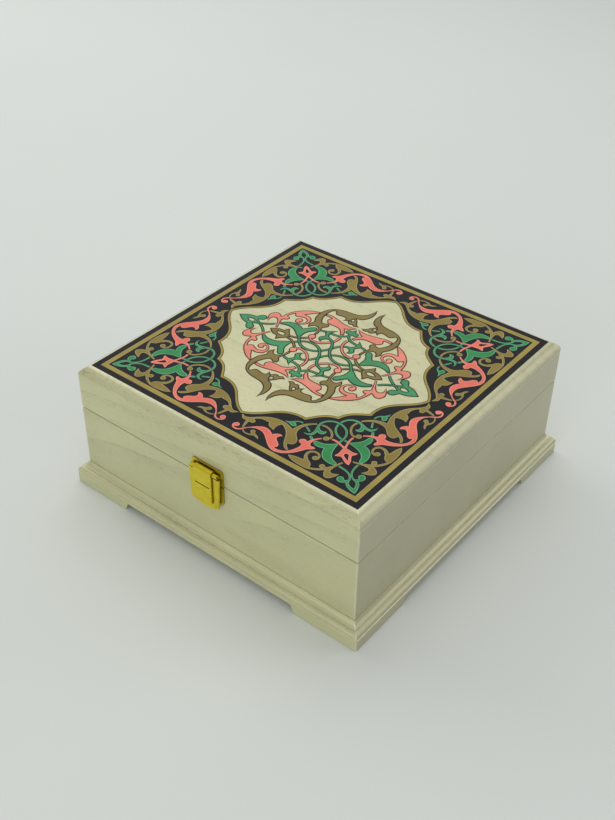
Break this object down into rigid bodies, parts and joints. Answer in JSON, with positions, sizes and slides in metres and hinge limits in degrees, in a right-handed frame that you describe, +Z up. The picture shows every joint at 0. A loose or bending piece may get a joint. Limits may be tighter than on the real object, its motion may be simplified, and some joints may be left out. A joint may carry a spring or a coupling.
{
  "type": "hinged wooden box",
  "caption": "Square wooden keepsake box: hinged lid with a painted arabesque top, moulded plinth on corner feet and a brass flap latch.",
  "frame": {"origin": "on the floor under the middle of the box", "axes": "+X along the front to the right of someone facing the latch, +Y from the latch to the hinge, +Z up"},
  "size_m": [0.265, 0.265, 0.106],
  "materials": {
    "pearl_paint": "pearl cream paint over open grain, satin",
    "bare_wood": "bare sanded wood",
    "latch_brass": "bright plated brass",
    "hinge_brass": "plain brass strip",
    "fastener_brass": "brass plated",
    "pin_steel": "drawn wire",
    "print_black": "satin black print",
    "print_gold": "olive gold print",
    "print_green": "green print",
    "print_pink": "coral pink print"
  },
  "bodies": {
    "box": {"body_front_wall": "pearl_paint", "body_back_wall": "pearl_paint", "body_left_wall": "pearl_paint", "body_right_wall": "pearl_paint", "bottom_board": "bare_wood", "plinth_front": "pearl_paint", "plinth_back": "pearl_paint", "plinth_left": "pearl_paint", "plinth_right": "pearl_paint", "hinge_body_leaf": "hinge_brass", "hinge_body_screws": "fastener_brass", "hinge_pin": "pin_steel", "latch_body_plate": "latch_brass", "latch_body_nails": "fastener_brass"},
    "lid": {"lid_top_board": "pearl_paint", "lid_front_rail": "pearl_paint", "lid_back_rail": "pearl_paint", "lid_left_rail": "pearl_paint", "lid_right_rail": "pearl_paint", "hinge_lid_leaf": "hinge_brass", "hinge_lid_screws": "fastener_brass", "latch_lid_plate": "latch_brass", "latch_lid_nails": "fastener_brass", "latch_pin": "pin_steel"},
    "hasp": {"latch_hasp": "latch_brass"}
  },
  "joints": [
    {"name": "lid_hinge", "type": "hinge", "parent": "box", "child": "lid", "pos_m": [0, 0.1276, 0.07], "axis": [-1, 0, 0], "range_deg": [0, 180]},
    {"name": "hasp_pivot", "type": "hinge", "parent": "lid", "child": "hasp", "pos_m": [0, -0.1288, 0.08], "axis": [-1, 0, 0], "range_deg": [0, 170]}
  ]
}
